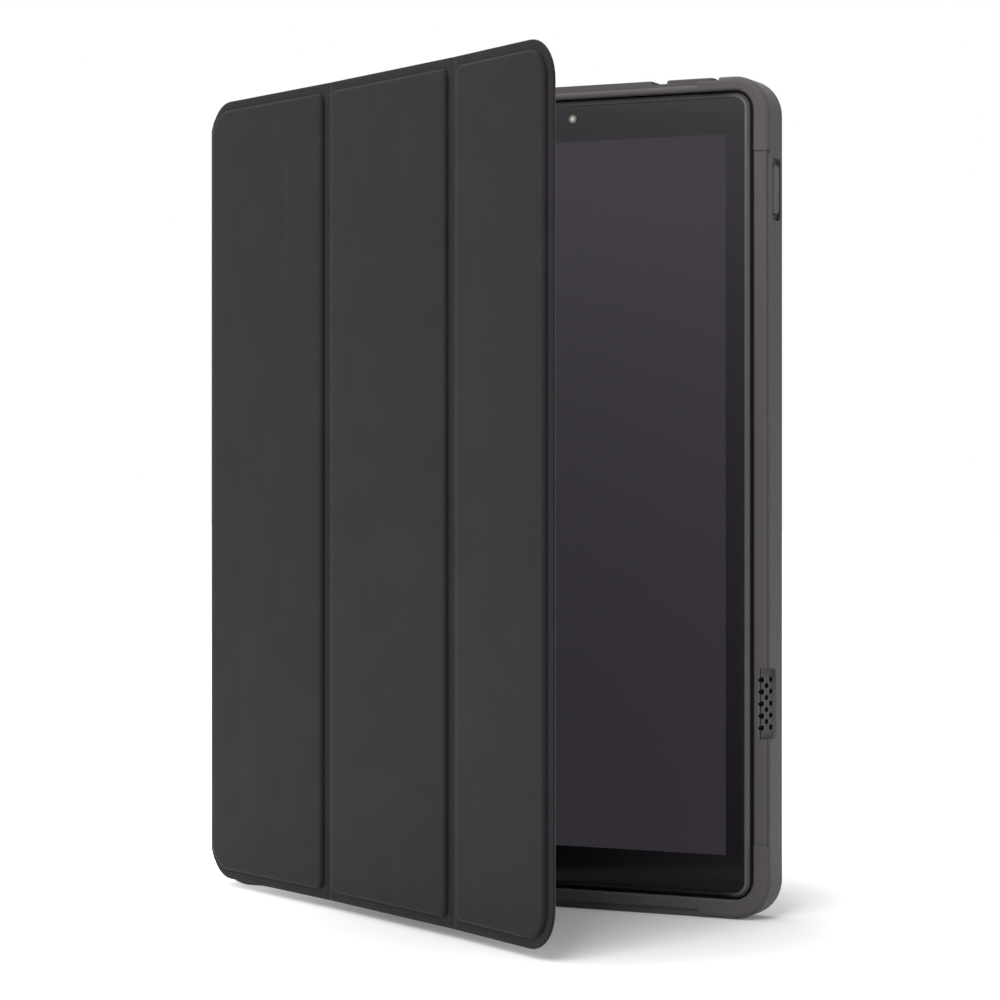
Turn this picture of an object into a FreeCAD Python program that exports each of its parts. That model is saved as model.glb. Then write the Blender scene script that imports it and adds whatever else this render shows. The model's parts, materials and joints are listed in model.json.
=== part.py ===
import FreeCAD
import Part
import math
import os
from FreeCAD import Vector

# A folio for a ten-inch tablet: a soft bumper tray on a leather-look back, a spine, and a cover in
# three panels that stands half open like a book. The tablet that it is made for sits in the tray.
# All sizes are millimetres. +Z runs up the long side, +Y from the screen to the back, and +X to the
# right of someone who faces the screen. The origin is the mouth of the charging slot, in the middle
# of the bottom edge that the folio stands on.

# The tablet
tablet_width = 182.4
tablet_height = 244.0
tablet_thickness = 9.0
tablet_corner_radius = 8.5
housing_wall = 1.6
housing_floor = 1.0
housing_front_radius = 0.8
housing_back_radius = 2.0
shoulder_flange = 1.0
rim_inset = 3.6
rim_end_reach = 0.9
rim_width = 1.5
rim_chamfer = 0.7
glass_thickness = 1.0
glass_clearance = 0.1
glass_ledge = 1.0
glass_edge_radius = 0.15
display_side_room = 2.6
display_top_room = 2.0
display_bottom_room = 7.3
display_thickness = 1.8
battery_from_speaker = 1.6
battery_height = 110.0
battery_swell_room = 1.6
battery_corner_radius = 2.0
battery_gap = 8.0
battery_from_bottom = 57.0
board_height = 32.0
board_thickness = 0.8
board_from_top = 12.0
board_from_side = 12.0
board_from_flash = 5.4
boss_height = 0.8
boss_radius = 2.0
boss_edge = 4.0
shield_room = 0.8
shield_margin = 6.0
front_camera_offset = 30.6
front_camera_clearance = 0.1
front_camera_size = 3.6
front_camera_depth = 3.6
front_lens_radius = 1.5
front_lens_height = 0.4
rear_camera_from_side = 19.2
rear_camera_from_top = 17.2
rear_barrel_radius = 4.5
rear_barrel_stand = 0.6
rear_module_size = 12.0
rear_module_room = 2.2
rear_lens_radius = 3.2
rear_lens_thickness = 0.4
flash_from_camera = 13.0
flash_radius = 2.0
flash_foot_edge = 0.8
hole_clearance = 0.2
port_width = 9.0
port_height = 3.2
port_depth = 7.4
port_wall = 0.4
port_tongue_width = 6.6
port_tongue_thickness = 0.7
port_board_width = 22.0
port_board_depth = 12.0
speaker_length = 27.0
speaker_depth = 14.0
speaker_room = 1.0
speaker_corner_radius = 1.5
speaker_outlet_length = 14.0
speaker_outlet_width = 1.4
key_length = 9.6
key_width = 2.0
key_clearance = 0.15
key_stand = 0.5
key_flange = 0.9
key_flange_thickness = 0.5
switch_length = 6.0
switch_thickness = 1.2
switch_reach = 1.5

# The bumper tray
tray_clearance = 0.2
tray_wall = 2.6
tablet_lift = 0.8
tray_floor = 2.0
liner_thickness = 0.4
lip_stand = 1.0
lip_overhang = 2.3
lip_clearance = 0.2
lip_drop = 0.35
lip_edge_radius = 0.8
lip_round = 1.1
front_edge_radius = 1.8
back_edge_radius = 0.8
corner_pad_length = 22.3
step_width = 0.7
end_step_width = 2.0
step_depth = 1.6
button_from_centre_line = 0.8
button_width = 5.0
button_corner_radius = 1.75
button_edge_radius = 0.5
button_clearance = 0.25
button_recess_depth = 1.0
button_recess_margin = 1.0
button_recess_corner_radius = 1.5
power_from_side = 26.8
power_length = 15.4
power_sink = -0.5  # the pad stands proud of the top edge
power_recess_length = 22.0
power_travel = 0.4
volume_from_top = 33.5
volume_length = 14.4
volume_recess_length = 18.4
volume_rock = 2.0
grille_from_bottom = 64.0
grille_length = 21.0
grille_width = 6.4
grille_from_front = 1.25
grille_depth = 2.7
grille_back_depth = 0.8
grille_lead = 0.8
grille_corner_radius = 1.8
grille_rows = 5
grille_columns = 3
grille_row_pitch = 3.55
grille_column_pitch = 2.0
grille_hole_radius = 0.85
charging_slot_width = 13.0
charging_slot_height = 5.8
charging_slot_radius = 1.2
camera_window_width = 31.0
camera_window_height = 14.0
camera_window_margin = 8.5

# The folio: leather-look skin outside, boards between, microfibre inside
skin_thickness = 0.5
lining_thickness = 0.4
panel_board_thickness = 1.2
spine_board_thickness = 0.5
spine_board_inset = 0.8
back_board_thickness = 0.9
wrap_clearance = 0.6
cover_setback = 0.35
cover_lift = 2.9
cover_overhang = 0.5
panel_1_length = 69.3
panel_2_length = 67.7
panel_1_opening = 28.3
panel_2_opening = 30.1
panel_3_opening = 32.6
free_corner_radius = 12.0
bend_corner_radius = 11.5
fold_reach = 1.8
bend_reach = 1.6
spine_reach = 3.0
sheet_clearance = 0.05
front_bend_radius = 0.9
back_bend_radius = 1.0
groove_half_width = 2.6
plate_edge_rim = 2.9
plate_bend_rim = 2.1
plate_free_rim = 2.9
plate_edge_radius = 1.0
board_edge_radius = 0.5
plate_corner_radius = 3.0
plate_bend_corner_radius = 9.3
plate_free_corner_radius = 8.6
back_panel_inset = 5.5
back_panel_corner_radius = 8.0
back_plate_rim = 3.0
back_web_width = 8.0
keeper_width = 12.0
keeper_thickness = 0.5
keeper_corner_radius = 1.0
keeper_end_margin = 40.0
keeper_from_fold = 12.0
magnet_radius = 4.0
magnet_thickness = 0.8
magnet_from_free_edge = 14.0
magnet_pitch = 52.0
magnet_count = 4
wake_magnet_length = 10.0
wake_magnet_width = 3.0
wake_magnet_corner_radius = 0.4

# How the solids are made: a cutter runs past a face by the overrun, and a rounding takes no more
# than a share of the side or of the wall that it is on
overrun = 1.0
side_share = 0.49
wall_share = 0.85
same_place = 1e-4

# Places that follow from the sizes above
tray_margin = tray_clearance + tray_wall
case_width = tablet_width + 2 * tray_margin
case_height = tablet_height + 2 * tray_margin
case_depth = lip_stand + tablet_thickness + liner_thickness + tray_floor
case_corner_radius = tablet_corner_radius + tray_margin
right = case_width / 2
front = -case_depth / 2
back = case_depth / 2
glass_front = front + lip_stand
shoulder = glass_front + glass_thickness
display_back = shoulder + display_thickness
tablet_back = glass_front + tablet_thickness
housing_inside = tablet_back - housing_floor
floor_level = tablet_back + liner_thickness
lip_underside = shoulder - lip_clearance
tablet_bottom = tray_margin + tablet_lift
tablet_top = tablet_bottom + tablet_height
tablet_right = right - tray_margin
inner_side = tablet_right - housing_wall
inner_top = tablet_top - housing_wall
shoulder_reach = rim_inset + rim_width + glass_clearance + glass_ledge
inner_depth = housing_inside - display_back
battery_width = inner_side - speaker_depth - battery_from_speaker - battery_gap / 2
battery_thickness = inner_depth - battery_swell_room
speaker_height = inner_depth - speaker_room
shield_height = inner_depth - boss_height - board_thickness - shield_room
rear_module_depth = inner_depth - rear_module_room
key_level = (shoulder + tablet_back) / 2 + housing_front_radius / 2
power_x = right - power_from_side
volume_z = case_height - volume_from_top
grille_back = front + grille_width
rear_camera_x = tablet_right - rear_camera_from_side
rear_camera_z = tablet_top - rear_camera_from_top
flash_x = rear_camera_x - flash_from_camera
front_camera_half = front_camera_size / 2
front_camera_z = tablet_top - shoulder_reach - front_camera_clearance - front_camera_half

sheet_thickness = skin_thickness + lining_thickness
sheet_middle = sheet_thickness / 2
spine_inside = -right - wrap_clearance
fold_x = spine_inside - sheet_middle
back_fold_y = back + sheet_clearance + sheet_middle
front_fold_y = front - wrap_clearance - sheet_middle
cover_top = case_height + cover_overhang
cover_middle = (cover_lift + cover_top) / 2
spine_bottom = cover_lift + bend_corner_radius
spine_top = cover_top - bend_corner_radius
spine_back = back_fold_y - spine_reach
spine_front = front_fold_y + spine_reach
back_panel_left = fold_x + back_web_width
cover_length = right - cover_setback - fold_x
panel_3_length = cover_length - panel_1_length - panel_2_length


def heading(opening):
    """Direction of a cover panel that stands open by an angle in degrees."""
    turn = math.radians(opening)
    return Vector(math.cos(turn), -math.sin(turn), 0)


bend_pivot = Vector(fold_x, front_fold_y, 0)
fold_1_pivot = bend_pivot + heading(panel_1_opening) * panel_1_length
fold_2_pivot = fold_1_pivot + heading(panel_2_opening) * panel_2_length


# Shapes that several pieces share

def block(x0, x1, y0, y1, z0, z1):
    """Plain block between two corners."""
    return Part.makeBox(x1 - x0, y1 - y0, z1 - z0, Vector(x0, y0, z0))


def rounded_plate(x0, x1, y0, y1, z0, z1, radii):
    """Upright plate with a radius at each corner: bottom left, bottom right, top right, top left."""
    solid = block(x0, x1, y0, y1, z0, z1)
    corners = [(x0, z0), (x1, z0), (x1, z1), (x0, z1)]
    limit = side_share * min(x1 - x0, z1 - z0)
    for (x, z), radius in zip(corners, radii):
        if radius > 0:
            solid = solid.makeFillet(min(radius, limit), edges_through(solid, x, z))
    return solid


def edges_through(solid, x, z):
    """Edges along Y that pass through one point of the XZ plane."""
    def on_line(vertex):
        return abs(vertex.X - x) < same_place and abs(vertex.Z - z) < same_place
    return [edge for edge in solid.Edges if all(on_line(vertex) for vertex in edge.Vertexes)]


def edges_at_depth(solid, y):
    """Edges that lie flat in one XZ plane."""
    def flat(edge):
        box = edge.BoundBox
        return abs(box.YMin - y) < same_place and abs(box.YMax - y) < same_place
    return [edge for edge in solid.Edges if flat(edge)]


def edges_along(solid, axis):
    """Straight edges parallel to an axis."""
    def parallel(edge):
        start = edge.Vertexes[0].Point
        end = edge.Vertexes[-1].Point
        return abs(abs((end - start).dot(axis)) - edge.Length) < same_place
    return [edge for edge in solid.Edges if len(edge.Vertexes) == 2 and parallel(edge)]


def rounded_block(x0, x1, y0, y1, z0, z1, axis, radius):
    """Block whose edges along one axis are rounded."""
    solid = block(x0, x1, y0, y1, z0, z1)
    sizes = (x1 - x0, y1 - y0, z1 - z0)
    narrow = min(size for size, part in zip(sizes, axis) if part == 0)
    return solid.makeFillet(min(radius, side_share * narrow), edges_along(solid, axis))


def tray_plate(y0, y1):
    """Plate with the outline of the bumper."""
    return rounded_plate(-right, right, y0, y1, 0, case_height, [case_corner_radius] * 4)


def tablet_plate(inset, y0, y1):
    """Plate with the outline of the tablet, drawn in by an inset, or grown by a negative one."""
    side = tablet_right - inset
    radius = tablet_corner_radius - inset
    return rounded_plate(
        -side, side, y0, y1, tablet_bottom + inset, tablet_top - inset, [radius] * 4
    )


def front_plate(inset, y0, y1):
    """Plate with the outline of the tablet's front, which comes nearer to the ends than to the sides."""
    side = tablet_right - inset
    end = inset - rim_end_reach
    radius = tablet_corner_radius - inset
    return rounded_plate(-side, side, y0, y1, tablet_bottom + end, tablet_top - end, [radius] * 4)


def along_x(radius, x0, x1, y, z):
    """Cylinder along X."""
    return Part.makeCylinder(radius, x1 - x0, Vector(x0, y, z), Vector(1, 0, 0))


def along_y(radius, x, y0, y1, z):
    """Cylinder along Y."""
    return Part.makeCylinder(radius, y1 - y0, Vector(x, y0, z), Vector(0, 1, 0))


# The bumper tray

def bumper_shell():
    """Soft tray: floor, walls, front lip, corner pads, button recesses, grille and cut-outs."""
    solid = tray_walls().fuse([front_lip(), corner_pads()]).removeSplitter()
    for cutter in button_cutters() + grille_cutters() + floor_cutters():
        solid = solid.cut(cutter)
    return solid


def tray_walls():
    """Floor and walls of the tray, up to the step in front of them."""
    solid = tray_plate(front + step_depth, back)
    solid = solid.makeFillet(back_edge_radius, edges_at_depth(solid, back))
    return solid.cut(tray_room()).cut(tray_mouth())


def front_lip():
    """Rounded lip that holds the tablet, set in from the walls by a step."""
    face = front + lip_drop
    side = right - step_width
    solid = rounded_plate(
        -side, side, face, front + step_depth, end_step_width, case_height - end_step_width,
        [case_corner_radius - step_width] * 4,
    )
    solid = solid.makeFillet(lip_round, edges_at_depth(solid, face)).cut(tray_mouth())
    return solid.makeFillet(lip_edge_radius, mouth_edges(solid))


def corner_pads():
    """Four corner pads, which stand as high as the walls and in front of the lip between them."""
    solid = tray_plate(front, back)
    solid = solid.makeFillet(front_edge_radius, edges_at_depth(solid, front))
    solid = solid.makeFillet(back_edge_radius, edges_at_depth(solid, back))
    solid = solid.cut(tray_room()).cut(tray_mouth())
    return solid.makeFillet(lip_edge_radius, mouth_edges(solid)).common(corner_room())


def tray_room():
    """Room for the tablet and its liner."""
    return tablet_plate(-tray_clearance, lip_underside, floor_level)


def tray_mouth():
    """Opening in the front through which the glass shows."""
    return tablet_plate(lip_overhang - tray_clearance, front - overrun, lip_underside + overrun)


def corner_room():
    """Room of the four corner pads, which stand higher than the lip between them."""
    side = right - corner_pad_length
    high = case_height - corner_pad_length
    corners = []
    for x0, x1 in ((-right - overrun, -side), (side, right + overrun)):
        for z0, z1 in ((-overrun, corner_pad_length), (high, case_height + overrun)):
            corners.append(block(x0, x1, front - overrun, floor_level, z0, z1))
    return Part.makeCompound(corners)


def mouth_edges(solid):
    """Edges of the mouth of the tray, which are the inner outline of its front face."""
    face = min(solid.Faces, key=lambda candidate: candidate.CenterOfMass.y)
    mouths = [wire for wire in face.Wires if not wire.isSame(face.OuterWire)]
    return [edge for wire in mouths for edge in wire.Edges]


def button_cutters():
    """Finger recess and through slot of the power button, open to the front, and of the volume button."""
    half = button_width / 2
    low = button_from_centre_line - half
    high = button_from_centre_line + half
    margin = button_recess_margin
    reach = power_recess_length / 2
    top_recess = rounded_block(
        power_x - reach, power_x + reach, front - overrun, high + margin,
        case_height - button_recess_depth, case_height + overrun, Vector(0, 0, 1),
        button_recess_corner_radius,
    )
    reach = volume_recess_length / 2
    side_recess = rounded_block(
        right - button_recess_depth, right + overrun, low - margin, high + margin,
        volume_z - reach, volume_z + reach, Vector(1, 0, 0), button_recess_corner_radius,
    )
    top_slot = power_body(button_clearance, tablet_top - overrun, case_height + overrun)
    side_slot = volume_body(button_clearance, right - tray_wall - overrun, right + overrun)
    return [top_recess, side_recess, top_slot, side_slot]


def power_body(extra, z0, z1):
    """Outline of the power pad, grown on all sides by a clearance."""
    reach = power_length / 2 + extra
    half = button_width / 2 + extra
    return rounded_block(
        power_x - reach, power_x + reach, button_from_centre_line - half,
        button_from_centre_line + half, z0, z1, Vector(0, 0, 1),
        button_corner_radius + extra,
    )


def volume_body(extra, x0, x1):
    """Outline of the volume pad, grown on all sides by a clearance."""
    reach = volume_length / 2 + extra
    half = button_width / 2 + extra
    return rounded_block(
        x0, x1, button_from_centre_line - half, button_from_centre_line + half,
        volume_z - reach, volume_z + reach, Vector(1, 0, 0),
        button_corner_radius + extra,
    )


def grille_cutters():
    """Slanted pocket at the lower right side, open to the front, and its staggered sound holes."""
    low = grille_from_bottom - grille_length / 2
    deep = right - grille_depth
    slope = (grille_depth - grille_back_depth) / grille_width
    face = front + lip_drop
    outline = [
        (deep - grille_lead, front - overrun), (deep - grille_lead, face),
        (deep + slope * grille_lead, front + grille_lead), (right - grille_back_depth, grille_back),
        (right + overrun, grille_back), (right + overrun, front - overrun),
    ]
    points = [Vector(x, y, low) for x, y in outline]
    pocket = Part.Face(Part.makePolygon(points + points[:1])).extrude(Vector(0, 0, grille_length))
    across = edges_along(pocket, Vector(1, 0, 0))
    corners = [edge for edge in across if edge.CenterOfMass.y > grille_back - same_place]
    cutters = [pocket.makeFillet(grille_corner_radius, corners)]
    for column in range(grille_columns):
        rows = grille_rows - column % 2
        y = front + grille_from_front + column * grille_column_pitch
        for row in range(rows):
            z = grille_from_bottom + (row - (rows - 1) / 2) * grille_row_pitch
            cutters.append(along_x(grille_hole_radius, right - tray_wall - overrun, right, y, z))
    return cutters


def floor_cutters():
    """Charging slot in the bottom wall and camera window in the floor."""
    half = charging_slot_height / 2
    slot = rounded_block(
        -charging_slot_width / 2, charging_slot_width / 2, key_level - half, key_level + half,
        -overrun, tablet_bottom + overrun, Vector(0, 0, 1), charging_slot_radius,
    )
    return [slot, camera_window(floor_level - overrun, back + overrun)]


def camera_window(y0, y1, grow=0.0):
    """Long round-ended opening that clears the rear camera and its flash."""
    right_end = rear_camera_x + camera_window_margin + grow
    left_end = right_end - camera_window_width - 2 * grow
    half = camera_window_height / 2 + grow
    return rounded_plate(
        left_end, right_end, y0, y1, rear_camera_z - half, rear_camera_z + half, [half] * 4
    )


def tray_liner():
    """Microfibre sheet on the floor of the tray."""
    sheet = tablet_plate(0, tablet_back, floor_level)
    return sheet.cut(camera_window(tablet_back - overrun, floor_level + overrun))


def power_pad():
    """Soft pad over the power key."""
    pad = power_body(0, tablet_top + key_stand, case_height - power_sink)
    return pad.makeFillet(button_edge_radius, pad_face_edges(pad, Vector(0, 0, 1)))


def volume_pad():
    """Soft pad over the volume key."""
    pad = volume_body(0, tablet_right + key_stand, right)
    return pad.makeFillet(button_edge_radius, pad_face_edges(pad, Vector(1, 0, 0)))


def pad_face_edges(pad, outward):
    """Edges around the outer face of a button pad."""
    face = max(pad.Faces, key=lambda candidate: candidate.CenterOfMass.dot(outward))
    return face.Edges


# The tablet

def tablet_housing():
    """Hollow back of the tablet with the shoulder that carries the rim, glass and display."""
    solid = tablet_plate(0, shoulder, tablet_back)
    solid = solid.makeFillet(housing_front_radius, edges_at_depth(solid, shoulder))
    solid = solid.makeFillet(housing_back_radius, edges_at_depth(solid, tablet_back))
    ledge = shoulder + shoulder_flange
    solid = solid.cut(tablet_plate(housing_wall, ledge, housing_inside))
    solid = solid.cut(tablet_plate(shoulder_reach, shoulder - overrun, ledge + overrun))
    for x, z in boss_places():
        top = housing_inside - boss_height
        solid = solid.fuse(along_y(boss_radius, x, top, housing_inside + housing_floor / 2, z))
    for cutter in housing_cutters():
        solid = solid.cut(cutter)
    return solid.removeSplitter()


def housing_cutters():
    """Openings in the housing for the keys, the port, the speaker, the camera and the flash."""
    key_reach = key_length / 2 + key_clearance
    key_half = key_width / 2 + key_clearance
    port_reach = port_width / 2
    port_half = port_height / 2
    outlet = speaker_outlet_length / 2
    return [
        block(
            power_x - key_reach, power_x + key_reach, key_level - key_half, key_level + key_half,
            inner_top - overrun, tablet_top + overrun,
        ),
        block(
            inner_side - overrun, tablet_right + overrun, key_level - key_half, key_level + key_half,
            volume_z - key_reach, volume_z + key_reach,
        ),
        rounded_block(
            -port_reach, port_reach, key_level - port_half, key_level + port_half,
            tablet_bottom - overrun, tablet_bottom + housing_wall + overrun, Vector(0, 0, 1), port_half,
        ),
        block(
            inner_side - overrun, tablet_right + overrun, key_level - speaker_outlet_width / 2,
            key_level + speaker_outlet_width / 2, grille_from_bottom - outlet,
            grille_from_bottom + outlet,
        ),
        along_y(
            rear_barrel_radius + hole_clearance, rear_camera_x, housing_inside - overrun,
            tablet_back + overrun, rear_camera_z,
        ),
        along_y(
            flash_radius + hole_clearance, flash_x, housing_inside - overrun, tablet_back + overrun,
            rear_camera_z,
        ),
    ]


def board_edges():
    """Left, right, bottom and top of the main board."""
    far = flash_x - flash_radius - flash_foot_edge - board_from_flash
    top = tablet_top - board_from_top
    return board_from_side - tablet_right, far, top - board_height, top


def boss_places():
    """Centres of the four bosses that carry the main board."""
    left, far, low, top = board_edges()
    columns = (left + boss_edge, far - boss_edge)
    rows = (low + boss_edge, top - boss_edge)
    return [(x, z) for x in columns for z in rows]


def tablet_rim():
    """Bright frame round the glass, on the shoulder of the housing, with a bevelled outer edge."""
    solid = front_plate(rim_inset, glass_front, shoulder)
    solid = solid.makeChamfer(rim_chamfer, edges_at_depth(solid, glass_front))
    return solid.cut(front_plate(rim_inset + rim_width, glass_front - overrun, shoulder + overrun))


def cover_glass():
    """Front glass, inside the rim and on the shoulder of the housing."""
    solid = front_plate(rim_inset + rim_width + glass_clearance, glass_front, shoulder)
    return solid.makeFillet(glass_edge_radius, edges_at_depth(solid, glass_front))


def display_panel():
    """Display module on the back of the glass."""
    side = tablet_right - shoulder_reach - display_side_room
    low = tablet_bottom + shoulder_reach + display_bottom_room
    high = front_camera_z - front_camera_half - front_camera_clearance - display_top_room
    return block(-side, side, shoulder, display_back, low, high)


def battery_cells():
    """Two flat cells side by side on the floor of the housing."""
    cells = []
    low = tablet_bottom + battery_from_bottom
    for side in (-1, 1):
        inner = side * battery_gap / 2
        outer = inner + side * battery_width
        cells.append(rounded_plate(
            min(inner, outer), max(inner, outer), housing_inside - battery_thickness,
            housing_inside, low, low + battery_height, [battery_corner_radius] * 4,
        ))
    return Part.makeCompound(cells)


def main_board():
    """Circuit board on its bosses, with one shield can."""
    left, far, low, top = board_edges()
    seat = housing_inside - boss_height
    face = seat - board_thickness
    board = block(left, far, face, seat, low, top)
    can = block(
        left + shield_margin, far - shield_margin, face - shield_height, face,
        low + shield_margin, top - shield_margin,
    )
    return board.fuse(can)


def front_camera():
    """Small camera behind the glass in the upper bezel."""
    half = front_camera_half
    z = front_camera_z
    body = block(
        front_camera_offset - half, front_camera_offset + half, shoulder + front_lens_height,
        shoulder + front_camera_depth, z - half, z + half,
    )
    lens = along_y(
        front_lens_radius, front_camera_offset, shoulder, shoulder + front_lens_height, z
    )
    return body.fuse(lens)


def rear_camera():
    """Camera module on the housing floor, with its barrel through the back."""
    half = rear_module_size / 2
    body = block(
        rear_camera_x - half, rear_camera_x + half, housing_inside - rear_module_depth,
        housing_inside, rear_camera_z - half, rear_camera_z + half,
    )
    end = tablet_back + rear_barrel_stand
    barrel = along_y(rear_barrel_radius, rear_camera_x, housing_inside, end, rear_camera_z)
    seat = along_y(
        rear_lens_radius, rear_camera_x, end - rear_lens_thickness, end + overrun, rear_camera_z
    )
    return body.fuse(barrel).cut(seat)


def rear_lens():
    """Glass disc in the end of the rear camera's barrel."""
    end = tablet_back + rear_barrel_stand
    return along_y(rear_lens_radius, rear_camera_x, end - rear_lens_thickness, end, rear_camera_z)


def flash_lamp():
    """Round flash lamp beside the rear camera, flush with the back, on a small foot."""
    lamp = along_y(flash_radius, flash_x, housing_inside, tablet_back, rear_camera_z)
    foot = along_y(
        flash_radius + flash_foot_edge, flash_x, housing_inside - housing_floor, housing_inside,
        rear_camera_z,
    )
    return lamp.fuse(foot)


def charging_port():
    """Metal socket with its tongue, behind the charging slot."""
    reach = port_width / 2 - hole_clearance
    half = port_height / 2 - hole_clearance
    low = tablet_bottom
    high = low + port_depth
    can = rounded_block(
        -reach, reach, key_level - half, key_level + half, low, high, Vector(0, 0, 1), half
    )
    inside = half - port_wall
    hollow = rounded_block(
        port_wall - reach, reach - port_wall, key_level - inside, key_level + inside, low - overrun,
        high - port_wall, Vector(0, 0, 1), inside,
    )
    tongue = block(
        -port_tongue_width / 2, port_tongue_width / 2, key_level - port_tongue_thickness / 2,
        key_level + port_tongue_thickness / 2, low + port_wall, high,
    )
    return can.cut(hollow).fuse(tongue)


def port_board():
    """Small board that carries the charging socket on the housing floor."""
    seat = key_level + port_height / 2 - hole_clearance
    low = tablet_bottom + housing_wall
    return block(
        -port_board_width / 2, port_board_width / 2, seat, housing_inside, low, low + port_board_depth
    )


def loudspeaker():
    """Speaker box against the side wall, behind the sound holes."""
    half = speaker_length / 2
    return rounded_block(
        inner_side - speaker_depth, inner_side, housing_inside - speaker_height, housing_inside,
        grille_from_bottom - half, grille_from_bottom + half, Vector(0, 1, 0),
        speaker_corner_radius,
    )


def power_key():
    """Tablet's power key, with the flange that holds it in from inside."""
    reach = key_length / 2
    half = key_width / 2
    seat = inner_top - key_clearance
    stem = block(
        power_x - reach, power_x + reach, key_level - half, key_level + half, seat,
        tablet_top + key_stand,
    )
    flange = block(
        power_x - reach - key_flange, power_x + reach + key_flange, key_level - half,
        key_level + half, seat - key_flange_thickness, seat,
    )
    return stem.fuse(flange)


def volume_key():
    """Tablet's rocking volume key, with the flange that holds it in from inside."""
    reach = key_length / 2
    half = key_width / 2
    seat = inner_side - rock_room()
    stem = block(
        seat, tablet_right + key_stand, key_level - half, key_level + half, volume_z - reach,
        volume_z + reach,
    )
    flange = block(
        seat - key_flange_thickness, seat, key_level - half, key_level + half,
        volume_z - reach - key_flange, volume_z + reach + key_flange,
    )
    return stem.fuse(flange)


def rock_room():
    """Room that the ends of the volume key need as it rocks."""
    swing = (key_length / 2 + key_flange) * math.sin(math.radians(volume_rock))
    return swing + key_clearance


def key_switches():
    """One small switch behind each key, standing on the housing floor."""
    half = switch_length / 2
    front_face = key_level - switch_reach
    power_seat = inner_top - key_clearance - key_flange_thickness - power_travel - key_clearance
    volume_seat = inner_side - 2 * rock_room() - key_flange_thickness
    power_switch = block(
        power_x - half, power_x + half, front_face, housing_inside,
        power_seat - switch_thickness, power_seat,
    )
    volume_switch = block(
        volume_seat - switch_thickness, volume_seat, front_face, housing_inside,
        volume_z - half, volume_z + half,
    )
    return Part.makeCompound([power_switch, volume_switch])


# The folio

def panel_slab(start, end, inner, outer, low, high, radii):
    """Slab of a cover panel that lies shut: depths are measured outwards from its inner face."""
    return rounded_plate(start, end, sheet_middle - outer, sheet_middle - inner, low, high, radii)


def stand_panel(shape, pivot, opening):
    """Turn a shut panel open about its own fold and put it in its place."""
    placed = shape.copy()
    placed.rotate(Vector(0, 0, 0), Vector(0, 0, 1), -opening)
    placed.translate(pivot)
    return placed


def raised_skin(sheet, plate_start, plate_end, plate_low, plate_high, radii, base, thickness):
    """Skin over a board: a flat rim and a raised plate with rounded edges, and the board inside it."""
    top = sheet_middle - base - thickness - skin_thickness
    floor = sheet_middle - base
    plate = rounded_plate(plate_start, plate_end, top, floor, plate_low, plate_high, radii)
    edge = min(plate_edge_radius, wall_share * thickness)
    plate = plate.makeFillet(edge, edges_at_depth(plate, top))
    inner_radii = [radius - skin_thickness for radius in radii]
    board = rounded_plate(
        plate_start + skin_thickness, plate_end - skin_thickness, top + skin_thickness, floor,
        plate_low + skin_thickness, plate_high - skin_thickness, inner_radii,
    )
    edge = min(board_edge_radius, wall_share * thickness)
    board = board.makeFillet(edge, edges_at_depth(board, top + skin_thickness))
    return sheet.fuse(plate).removeSplitter().cut(board), board


def cover_panel(outline_start, start, end, corner_radii, plate_start, plate_end, plate_radii):
    """Lining, skin and board of one cover panel, shut. A bend may take the first strip of its outline."""
    bend = block(outline_start - overrun, start, -case_depth, case_depth, -overrun, cover_top + overrun)
    outline = (cover_lift, cover_top, corner_radii)
    lining = panel_slab(outline_start, end, 0, lining_thickness, *outline).cut(bend)
    sheet = panel_slab(outline_start, end, lining_thickness, sheet_thickness, *outline).cut(bend)
    skin, board = raised_skin(
        sheet, plate_start, plate_end, cover_lift + plate_edge_rim, cover_top - plate_edge_rim,
        plate_radii, lining_thickness, panel_board_thickness,
    )
    return lining, skin, board


def keeper_slab():
    """Steel strip in the inner face of the first board."""
    far = panel_1_length - keeper_from_fold
    return panel_slab(
        far - keeper_width, far, lining_thickness, lining_thickness + keeper_thickness,
        cover_lift + keeper_end_margin, cover_top - keeper_end_margin, [keeper_corner_radius] * 4,
    )


def cover_magnet_discs():
    """Row of closing magnets in the inner face of the third board."""
    u = panel_3_length - magnet_from_free_edge
    inner = sheet_middle - lining_thickness
    discs = []
    for index in range(magnet_count):
        z = cover_middle + (index - (magnet_count - 1) / 2) * magnet_pitch
        discs.append(along_y(magnet_radius, u, inner - magnet_thickness, inner, z))
    return Part.makeCompound(discs)


def wake_magnet_bar():
    """Slim magnet midway between the upper two discs, which puts the screen to sleep."""
    u = panel_3_length - magnet_from_free_edge
    half = wake_magnet_width / 2
    z = cover_middle + (magnet_count / 2 - 1) * magnet_pitch
    reach = wake_magnet_length / 2
    return panel_slab(
        u - half, u + half, lining_thickness, lining_thickness + magnet_thickness,
        z - reach, z + reach, [wake_magnet_corner_radius] * 4,
    )


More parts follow.
